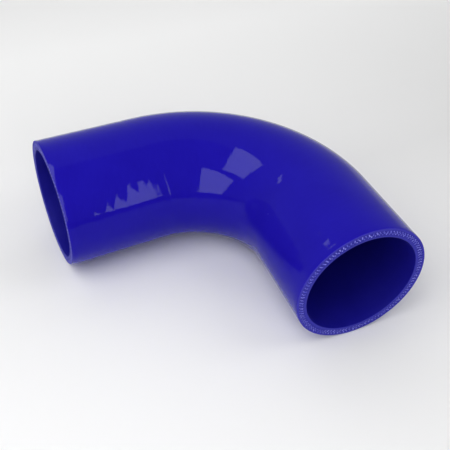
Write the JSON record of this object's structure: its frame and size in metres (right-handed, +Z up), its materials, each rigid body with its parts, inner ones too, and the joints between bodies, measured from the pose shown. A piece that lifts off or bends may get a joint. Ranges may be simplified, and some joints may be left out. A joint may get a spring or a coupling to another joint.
{
  "type": "silicone elbow hose",
  "caption": "Smooth reinforced silicone elbow hose with square-cut ends, for joining two pipes round a right-angled corner in a coolant or air intake run.",
  "frame": {"origin": "below the middle of the hose's box, on the surface that it lies on", "axes": "+Z up out of the plane of the bend, -X out of cut end A along its leg, and cut end B faces -Y, turned a few degrees towards -X"},
  "size_m": [0.166, 0.1692, 0.074],
  "materials": {
    "silicone": "glossy royal blue silicone rubber"
  },
  "bodies": {
    "root": {"elbow_hose": "silicone"}
  },
  "joints": []
}
